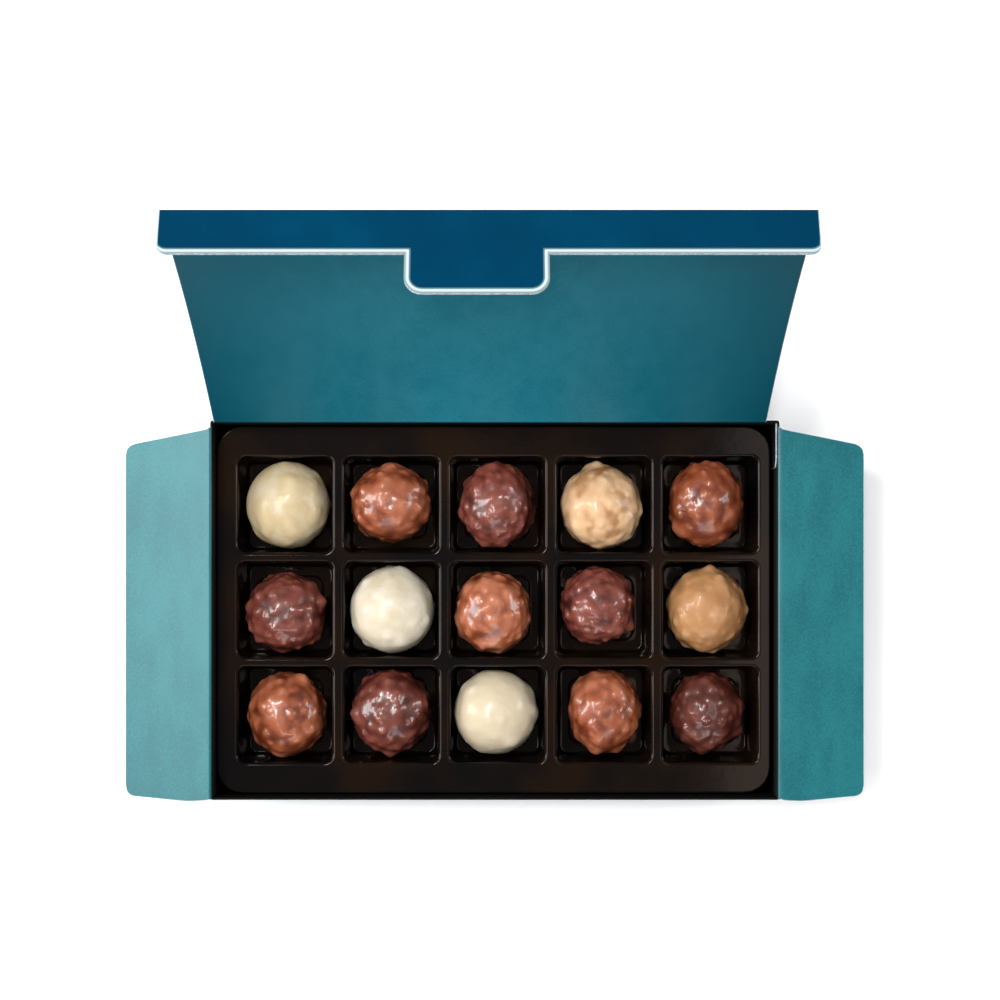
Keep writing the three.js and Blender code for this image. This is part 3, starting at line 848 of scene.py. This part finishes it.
def tuck_board():
    """Rows of points along a path that bends over the fold. The tongue's rows go on from the middle run
    of the last row, so both are one sheet."""
    origin = hinge["tuck_fold"]
    left, right = TONGUE_OFFSET - TONGUE_WIDTH / 2, TONGUE_OFFSET + TONGUE_WIDTH / 2
    fold = lid_arc([LID_LENGTH])[0]
    lid_end = lid_arc([LID_LENGTH - FOLD_SETBACK])[0] - fold
    into = -lid_end / np.linalg.norm(lid_end)
    bend = fillet(np.zeros(2), into, HOLLOW, FOLD_RADIUS, 9)
    start = float(np.dot(bend[-1], HOLLOW))
    flat = np.concatenate([
        np.linspace(start, TUCK_REACH - TUCK_CORNER, 6)[1:], round_rows(TUCK_REACH, TUCK_CORNER, 12)[1:],
    ])
    path = np.concatenate([line(lid_end, bend[0], 3), bend, flat[:, None] * HOLLOW])
    reach = np.concatenate([np.zeros(3 + len(bend)), flat])
    x = tuck_rows(reach, left, right)
    rows, columns = x.shape
    beyond = np.concatenate([
        np.linspace(TUCK_REACH, TONGUE_REACH - TONGUE_CORNER, 14)[1:],
        round_rows(TONGUE_REACH, TONGUE_CORNER, 18)[1:],
    ])
    tongue_x = tongue_rows(beyond, left, right)
    points = np.concatenate([swept(path, x), swept(beyond[:, None] * HOLLOW, tongue_x)]) + origin
    normals = swept_normals(path, columns)
    normals = np.concatenate([normals, np.tile(normals[-1], (tongue_x.size, 1))])
    run = tongue_x.shape[1]
    root = (rows - 1) * columns + run - 1 + np.arange(run)
    own = rows * columns + np.arange(tongue_x.size).reshape(tongue_x.shape)
    quads = np.concatenate([grid_quads(rows, columns), quads_of(np.vstack([root, own]))])
    uncut = np.arange(len(points)) < columns
    bare_and_highlight = np.concatenate([
        bare_rim(x, reach[:, None]).ravel(), bare_rim(tongue_x, beyond[:, None]).ravel(),
    ])
    piece = board_piece("tuck_board", points, quads, normals, uncut=uncut, bare_and_highlight=bare_and_highlight)
    round_edges(piece)
    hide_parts("tuck_flap")
    before = origin + [0, *(lid_end * 0.6)]
    before * MM
    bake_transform(piece)
    return piece


tuck = tuck_board()
print("tuck flap:", len(tuck.data.polygons), "faces")

# %% [markdown]
# The tray is a thin black sheet drawn into fifteen wells by heat and vacuum, so every corner of it is
# soft. Each well is a stack of rounded rectangles: over the shoulder, down the wall with its draft,
# round the foot, across the floor and up onto a low pad. The flat deck between the wells is filled by
# a triangulation between their rims, and a rolled border leads down to the lip.

# %% Tray finish
TRAY_BLACK = screen_colour(9, 8, 9)
TRAY_BROWN_AND_REFLECTION = screen_colour(24, 14, 7)


def tray_plastic():
    finish = Finish("tray_plastic", Specular_IOR_Level=0.16, Specular_Tint=(1.0, 0.84, 0.76, 1.0))
    drift = finish.noise(30, detail=2)
    haze = finish.noise(4, detail=3)
    # The brown is partly the plastic's own tint and partly painted warm reflection, spread at random by the
    # drift.
    finish.set(Base_Color=finish.mix(drift.between(0.35, 0.7), TRAY_BLACK, TRAY_BROWN_AND_REFLECTION))
    finish.set(Roughness=0.06 + haze * 0.06)
    finish.set(Normal=finish.bump(haze, 0.05, strength=0.25))
    return finish.material


# %% [markdown]
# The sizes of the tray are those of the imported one, with softer rounds. A well's rings lead from its rim
# to the middle of its pad, and all wells are alike.

# %% Tray
TRAY_CORNER = 9.0
TRAY_LIP = 4.0
BORDER_ROUND = 0.5
TRAY_SHEET = 0.45
COLUMN_PITCH, ROW_PITCH = 36.65, 36.2
ARRAY_OFFSET = 0.97
PLACES = [(row, column) for row in range(3) for column in range(5)]
CELL_WIDTH, CELL_DEPTH, CELL_CORNER = 32.4, 33.0, 2.5
CELL_DRAFT = math.radians(3.0)
SHOULDER = 1.1
FOOT_ROUND = 0.9
PAD_SIZE, PAD_HEIGHT, PAD_CORNER = 22.0, 0.8, 3.0
# The rings of the pad: how much larger than the pad, and how much of its height they have risen
PAD_STEPS = ((1.6, 0.0), (1.1, 0.05), (0.6, 0.5), (0.1, 0.95), (-0.5, 1.0), (-6, 1.0), (-16, 1.0))
CELL_FLOOR = 1.6
FLAT_LEDGE = 0.12
tray_low, tray_high = corners_mm("tray")
TRAY_TOP = tray_high[2]


def cell_centre(row, column):
    """The middle of a well, with row 0 at the back and column 0 at the left."""
    return np.array([ARRAY_OFFSET + (column - 2) * COLUMN_PITCH, (1 - row) * ROW_PITCH])


def well_levels():
    """The rings of a well from its rim to the middle of its pad, as (how much wider than the opening,
    corner, height) on each side."""
    levels = [(SHOULDER + FLAT_LEDGE, CELL_CORNER + SHOULDER, TRAY_TOP)]
    for angle in np.linspace(0, math.pi / 2 - CELL_DRAFT, 7):
        wider = SHOULDER * (1 - math.sin(angle))
        levels.append((wider, CELL_CORNER + wider, TRAY_TOP - SHOULDER * (1 - math.cos(angle))))
    top, foot = levels[-1][2], CELL_FLOOR + FOOT_ROUND
    for height in np.linspace(top, foot, 5)[1:]:
        narrower = (TRAY_TOP - height) * math.tan(CELL_DRAFT)
        levels.append((-narrower, CELL_CORNER, height))
    narrow = -levels[-1][0]
    for angle in np.linspace(0, math.pi / 2, 6)[1:]:
        inset = narrow + FOOT_ROUND * (1 - math.cos(angle))
        height = foot - FOOT_ROUND * math.sin(angle)
        levels.append((-inset, CELL_CORNER, height))
    return levels


def well_surface(centre):
    """The points of one well. The pad in its floor is a smaller stack of rings with a smooth step."""
    levels = [
        (ring(CELL_WIDTH + 2 * wider, CELL_DEPTH + 2 * wider, corner), height)
        for wider, corner, height in well_levels()
    ]
    for larger, rise in PAD_STEPS:
        size = PAD_SIZE + larger
        corner = min(PAD_CORNER + larger / 2, size / 2 - 0.1) if larger > -6 else 1.0
        levels.append((ring(size, size, corner), CELL_FLOOR + rise * PAD_HEIGHT))
    return stacked(levels) + [*centre, 0]


def inside_rounded(points, centre, width, depth, corner):
    """Whether each point lies inside a rounded rectangle: its distance past the corner circles is less
    than their radius."""
    past = np.abs(points - centre) - np.array([width / 2 - corner, depth / 2 - corner])
    outside = np.linalg.norm(np.clip(past, 0, None), axis=1)
    return outside < corner


def tray_mesh():
    """The points and faces of the sheet's upper side: wells, border and the flat deck between them."""
    middle = (tray_low + tray_high)[:2] / 2
    width, depth = (tray_high - tray_low)[:2]
    points, faces, rims = [], [], []

    def add(surface, hollow):
        """Adds stacked rings, keeps the first as a rim of the deck, and returns the last."""
        start = sum(len(part) for part in points)
        number = start + np.arange(surface.size // 3).reshape(surface.shape[:2])
        quads = grid_quads(*number.shape, wrap=True) + start
        points.append(surface.reshape(-1, 3))
        faces.extend((quads[:, ::-1] if hollow else quads).tolist())
        rims.append(number[0])
        return number[-1]

    for row, column in PLACES:
        faces.append(add(well_surface(cell_centre(row, column)), hollow=True).tolist())
    border = [(BORDER_ROUND + FLAT_LEDGE, 0.0)]
    for angle in np.linspace(0, math.pi / 2, 7):
        border.append((BORDER_ROUND * (1 - math.sin(angle)), BORDER_ROUND * (1 - math.cos(angle))))
    border += [(0.0, TRAY_LIP / 2), (0.0, TRAY_LIP)]
    add(stacked([
        (ring(width - 2 * inset, depth - 2 * inset, TRAY_CORNER - inset) + middle, TRAY_TOP - height)
        for inset, height in border
    ]), hollow=False)
    rims = [rims[-1], *rims[:-1]]
    points = np.concatenate(points)
    loops = np.concatenate(rims)
    closing = [np.stack([loop, np.roll(loop, -1)], axis=1) for loop in rims]
    where = np.full(len(points), -1)
    where[loops] = np.arange(len(loops))
    flat = points[loops, :2]
    edges = where[np.concatenate(closing)]
    found = delaunay_2d_cdt(flat.tolist(), edges.tolist(), [], 0, 1e-5)
    corners = np.array(found[2])
    source = np.array([ids[0] for ids in found[3]])
    centres = flat[source[corners]].mean(axis=1)
    ledge, grow = BORDER_ROUND + FLAT_LEDGE, 2 * (SHOULDER + FLAT_LEDGE)
    keep = inside_rounded(centres, middle, width - 2 * ledge, depth - 2 * ledge, TRAY_CORNER - ledge)
    well = (CELL_WIDTH + grow, CELL_DEPTH + grow, CELL_CORNER + SHOULDER)
    for row, column in PLACES:
        keep &= ~inside_rounded(centres, cell_centre(row, column), *well)
    deck = loops[source[corners[keep]]]
    a, b, c = (points[deck[:, k], :2] for k in range(3))
    turn = (b - a)[:, 0] * (c - a)[:, 1] - (b - a)[:, 1] * (c - a)[:, 0]
    deck[turn < 0] = deck[turn < 0][:, ::-1]
    print("tray deck:", len(deck), "triangles, vertices kept", len(found[0]) == len(flat))
    return points, faces + deck.tolist()


def tray_piece():
    """The tray's upper side, thickened downwards to a sheet."""
    points, faces = tray_mesh()
    piece = new_piece("tray_shell", points, faces, [tray_plastic()])
    sheet = piece.modifiers.new("sheet", "SOLIDIFY")
    sheet.thickness = TRAY_SHEET * MM
    sheet.offset = -1
    settle(piece)
    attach(piece, "box")
    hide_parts("tray")
    return piece


tray = tray_piece()
print("tray:", len(tray.data.polygons), "faces")

# %% [markdown]
# A praline is a ball of filling rolled in chopped nuts and dipped twice, so its skin is a round form
# raised by lumps, with finer grains between them and a nub or two of nut standing out. The lumps stand
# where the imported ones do, because both are drawn from the same repeatable numbers, but they are lower
# and finer here.

# %% Praline kinds and sizes
PRALINE_HEIGHT = 26.2
PRALINE_FOOT = 0.08
PRALINE_STEPS = 64
LUMPS = 90
LUMP_SPREAD = 0.016
NUB_SPREAD = 0.014
GRAINS = 420
RELIEF = {"white": 0.017, "milk": 0.022, "dark": 0.026, "caramel": 0.028}
GRAIN_HEIGHT = {"white": 0.006, "milk": 0.034, "dark": 0.04, "caramel": 0.02}
# Kind, tone within its kind, width, depth, place in the well, and nubs as (around, above, height)
PRALINES = [
    [
        ("white", 0.1, 29.3, 30.5, (0.3, 0.1), []),
        ("milk", 0.5, 28.4, 28.0, (-0.4, 0.9), [(88, 10, 1.1)]),
        ("dark", 0.7, 27.5, 30.4, (-0.2, 0.3), [(190, 5, 1), (250, 15, 0.9)]),
        ("caramel", 1.0, 28.6, 31.0, (-0.5, 0), []),
        ("milk", 0.0, 26.2, 30.5, (-0.6, 0.3), [(225, 20, 0.8)]),
    ],
    [
        ("dark", 0.6, 28.8, 28.2, (-0.3, -1.2), [(20, 15, 0.9)]),
        ("white", 1.0, 29.6, 30.8, (-0.1, -0.1), []),
        ("milk", 0.9, 26.8, 28.6, (-1.7, -1.2), [(140, 25, 0.8)]),
        ("dark", 0.8, 26.6, 27.5, (-1.8, 1.3), [(330, 10, 0.9)]),
        ("caramel", 0.0, 28.6, 31.0, (-0.3, 0.1), [(278, 5, 0.8)]),
    ],
    [
        ("milk", 0.5, 27.9, 30.0, (-0.1, -0.6), [(60, 20, 0.8)]),
        ("dark", 0.5, 27.9, 30.9, (-0.5, -0.1), [(270, 8, 1.2)]),
        ("white", 0.6, 29.5, 29.3, (-0.5, 0.3), [(0, 12, 0.7)]),
        ("milk", 0.4, 25.9, 29.6, (0.8, 0.5), [(250, 12, 1), (290, 8, 1)]),
        ("dark", 0.0, 25.9, 28.9, (-0.3, 0), [(10, 12, 1), (328, 10, 0.9)]),
    ],
]

# %% [markdown]
# The ball is a cube whose six sides are blown up to a sphere, because a cube has no poles to pinch the
# skin. Every bump is the same bell shape, placed by its direction from the middle.

# %% Praline shapes
def draw(seed):
    """A repeatable number between 0 and 1 for each seed: what is left of a large sine."""
    value = np.sin(np.asarray(seed, float) * 12.9898) * 43758.5453
    return value - np.floor(value)


def scattered(count, seed, turn_shake=0.9, level_shake=0.2, limit=0.98):
    """Directions spread evenly over a ball by the golden angle and then shaken."""
    number = np.arange(count)
    even_level = 1 - 2 * (number + 0.5) / count
    turn = number * math.pi * (3 - math.sqrt(5)) + turn_shake * (draw(seed + number) - 0.5)
    level = np.clip(even_level + level_shake * (draw(seed + number + 0.3) - 0.5), -limit, limit)
    across = np.sqrt(1 - level ** 2)
    return np.stack([across * np.cos(turn), across * np.sin(turn), level], axis=1)


def ball_directions(steps):
    """Unit directions over a ball, and its quads. Each side of a cube is a grid whose lines stand at
    equal angles, pushed out to the ball, and the points that sides share are merged."""
    slope = np.tan(np.linspace(-math.pi / 4, math.pi / 4, steps + 1))
    u, v = np.meshgrid(slope, slope, indexing="ij")
    one = np.ones_like(u)
    sides = [(one, u, v), (-one, v, u), (v, one, u), (u, -one, v), (u, v, one), (v, u, -one)]
    cube = np.concatenate([np.stack(side, axis=-1).reshape(-1, 3) for side in sides])
    sphere = cube / np.linalg.norm(cube, axis=1, keepdims=True)
    size = (steps + 1) ** 2
    quads = np.concatenate([grid_quads(steps + 1, steps + 1) + k * size for k in range(6)])
    _, kept, renumbered = np.unique(sphere.round(6), axis=0, return_index=True, return_inverse=True)
    return sphere[kept], renumbered.reshape(-1)[quads]


BALL, BALL_QUADS = ball_directions(PRALINE_STEPS)
print("ball:", len(BALL), "points")


def raised(directions, height, spread):
    """The sum of round bumps: each is its height times exp((cosine - 1) / spread) of the angle to it."""
    return (np.exp((BALL @ directions.T - 1) / spread) * height).sum(axis=1)


def nub_directions(nubs):
    """Unit directions from each nub's turn around Z and its angle above the level, in degrees."""
    around, above = np.radians([[nub[0], nub[1]] for nub in nubs]).T
    return np.stack([np.cos(above) * np.cos(around), np.cos(above) * np.sin(around), np.sin(above)], axis=1)


def praline_surface(kind, width, depth, nubs, seed):
    """A ball raised by lumps, grains and nubs, scaled to its measured size and flattened at its foot.
    Most lumps are low and narrow and a few high and wide, because both grow with the square of a draw.
    Returns the points and how much each is raised, from 0 to 1."""
    number = np.arange(LUMPS)
    height = RELIEF[kind] * (0.1 + 2.2 * draw(seed + number + 0.6) ** 2)
    spread = LUMP_SPREAD * (0.45 + 1.5 * draw(seed + number + 0.8) ** 2)
    relief = raised(scattered(LUMPS, seed, 2.4, 0.3), height, spread)
    grain = np.arange(GRAINS)
    grain_height = GRAIN_HEIGHT[kind] * draw(seed + grain + 0.5) ** 1.5
    grain_spread = 0.0025 + 0.005 * draw(seed + grain + 0.1)
    relief += raised(scattered(GRAINS, seed + 40, 2.2, 0.12), grain_height, grain_spread)
    if nubs:
        nub_height = np.array([nub[2] for nub in nubs]) / (width / 2)
        relief += raised(nub_directions(nubs), nub_height, NUB_SPREAD)
    ball = BALL * (1 + relief)[:, None]
    low, high = ball.min(axis=0), ball.max(axis=0)
    full_height = PRALINE_HEIGHT / (1 - PRALINE_FOOT)
    ball = (ball - (low + high) / 2) * np.array([width, depth, full_height]) / (high - low)
    foot = full_height * (PRALINE_FOOT - 0.5)
    ball[:, 2] = np.maximum(ball[:, 2], foot) - foot
    share = (relief - relief.min()) / (relief.max() - relief.min())
    return ball, share


# %% [markdown]
# The four kinds share one recipe with different numbers. The hollows get a colour of their own, darker for
# milk, dark and caramel as painted shade, and the chocolate is lightest on the lumps, where it is thin over
# the nut. Its gloss is broken by faint grains, and the white and caramel kinds are softer and less shiny
# than milk and dark.

# %% Chocolate finishes
def chocolate(name, colours, rough, gloss, grain):
    """Five screen colours: the thin coat for tone 0 and for tone 1, the thick coat for tone 0 and for tone
    1, and the hollows, which is painted shade where it is darker than the coat."""
    pale_low, pale_high, deep_low, deep_high, hollow = (screen_colour(*colour) for colour in colours)
    finish = Finish(name, IOR=1.46, Specular_IOR_Level=gloss, Coat_Weight=gloss, Coat_Roughness=0.16)
    height = finish.value("relief")
    tone = finish.value("tone")
    cloud = finish.noise(5, detail=3)
    fine = finish.noise(0.9, detail=3)
    wrinkle = finish.noise(3.5, detail=2, distortion=0.8)
    thin = (height + cloud * 0.35 - 0.17).between(0.12, 0.5)
    out_of_hollows = (height + cloud * 0.25 - 0.12).between(-0.04, 0.16)
    coat = finish.mix(thin, finish.mix(tone, deep_low, deep_high), finish.mix(tone, pale_low, pale_high))
    finish.set(Base_Color=finish.mix(out_of_hollows, hollow, coat))
    finish.set(Roughness=rough + (cloud - 0.5) * 0.2)
    folds = finish.bump(wrinkle, grain * 7, strength=0.5)
    finish.set(Normal=finish.bump(fine, grain, strength=0.5, normal=folds))
    return finish.material


# Each kind's five colours, then its roughness, its gloss and the height of its fine grain
RECIPES = {
    "white": (
        [(182, 162, 124), (198, 188, 170), (176, 155, 116), (194, 183, 163), (186, 172, 146)],
        0.44, 0.3, 0.06,
    ),
    "milk": (
        [(144, 80, 54), (168, 102, 74), (124, 62, 37), (148, 82, 54), (84, 34, 17)],
        0.36, 0.5, 0.06,
    ),
    "dark": (
        [(96, 50, 40), (134, 73, 61), (78, 36, 28), (114, 58, 47), (56, 21, 16)],
        0.34, 0.5, 0.06,
    ),
    "caramel": (
        [(168, 124, 84), (200, 166, 130), (160, 115, 74), (194, 156, 118), (146, 102, 64)],
        0.44, 0.3, 0.05,
    ),
}
CHOCOLATE = {kind: chocolate(f"{kind}_chocolate", *recipe) for kind, recipe in RECIPES.items()}
print("chocolate finishes:", [finish.name for finish in CHOCOLATE.values()])

# %% [markdown]
# Each praline stands on the floor of its well, at its own small offset from the middle, and takes its
# kind, sizes and tone from the list above.

# %% Fifteen pralines
PRALINE_SEAT = corners_mm("praline_1_1_white")[0][2]


def praline_piece(row, column):
    """The praline of one well, with its relief and its tone kept for the finish."""
    kind, tone, width, depth, offset, nubs = PRALINES[row][column]
    points, relief = praline_surface(kind, width, depth, nubs, 100 * row + 7 * column + 1)
    node = f"praline_{row + 1}_{column + 1}_{kind}"
    place = np.array([*(cell_centre(row, column) + offset), PRALINE_SEAT])
    piece = new_piece(f"{node}_shell", points + place, BALL_QUADS, [CHOCOLATE[kind]])
    point_values(piece, "relief", relief)
    point_values(piece, "tone", np.full(len(points), tone))
    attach(piece, "box")
    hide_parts(node)
    return piece


pralines = [praline_piece(row, column) for row, column in PLACES]
print("pralines:", len(pralines), "with", len(BALL_QUADS), "faces each")

# %% [markdown]
# The box stands on a plain white table, which glows a little so that it stays white at its edges.

# %% Table
TABLE_GLOW = 0.07
TABLE_SIZE = 3000.0


def table_top():
    """A flat square, far wider than the picture, that belongs to the stage and not to the object."""
    finish = Finish("table", Specular_IOR_Level=0.2, Base_Color=(0.95, 0.95, 0.95, 1.0))
    finish.set(Emission_Color=(1.0, 1.0, 1.0, 1.0), Emission_Strength=TABLE_GLOW)
    grain = finish.noise(60, detail=2)
    finish.set(Roughness=0.6 + grain * 0.05)
    half = TABLE_SIZE / 2
    corners = [(-half, -half, 0), (half, -half, 0), (half, half, 0), (-half, half, 0)]
    piece = new_piece("table", corners, [[0, 1, 2, 3]], [finish.material])
    return piece


table_top()
print("table:", TABLE_SIZE, "mm wide")

# %% [markdown]
# The shadow is short and soft and falls to the right and towards the viewer, so the key light and a wide
# sky stand high up at the back left. One more light high up leaves no reflection, so the tray stays dark.
# Two lower panels at the sides give the chocolate its paired highlights, as studio windows would.

# %% Light
LIGHT_AIM = np.array([0.0, 10.0, 20.0]) * MM
WORLD_GLOW = 0.24


def panel(name, place, size, power):
    """A rectangular light that faces the box. Places in millimetres, power in watts."""
    light = bpy.data.lights.new(name, "AREA")
    light.shape = "RECTANGLE"
    light.size, light.size_y = size[0] * MM, size[1] * MM
    light.energy = power
    lamp = bpy.data.objects.new(name, light)
    place = np.array(place, float) * MM
    lamp.location = place
    lamp.rotation_euler = Vector(LIGHT_AIM - place).to_track_quat("-Z", "Y").to_euler()
    bpy.context.scene.collection.objects.link(lamp)
    return lamp


overhead = panel("overhead", (-50, 110, 1200), (200, 200), 4.6)
overhead.visible_glossy = False
panel("key", (-350, 400, 1200), (220, 220), 7)
panel("soft_sky", (-530, 60, 1150), (700, 240), 7.5)
panel("right_sky", (350, 0, 1150), (600, 300), 1.1)
panel("front_fill", (0, -1000, 520), (900, 400), 3.6)
panel("left_window", (-900, 60, 330), (300, 600), 7)
panel("right_window", (900, 160, 260), (240, 500), 3.6)

world = bpy.data.worlds.new("studio")
world.use_nodes = True
background = world.node_tree.nodes["Background"]
background.inputs["Color"].default_value = (1.0, 1.0, 1.0, 1.0)
background.inputs["Strength"].default_value = WORLD_GLOW
bpy.context.scene.world = world
bpy.context.scene.view_settings.view_transform = "Standard"
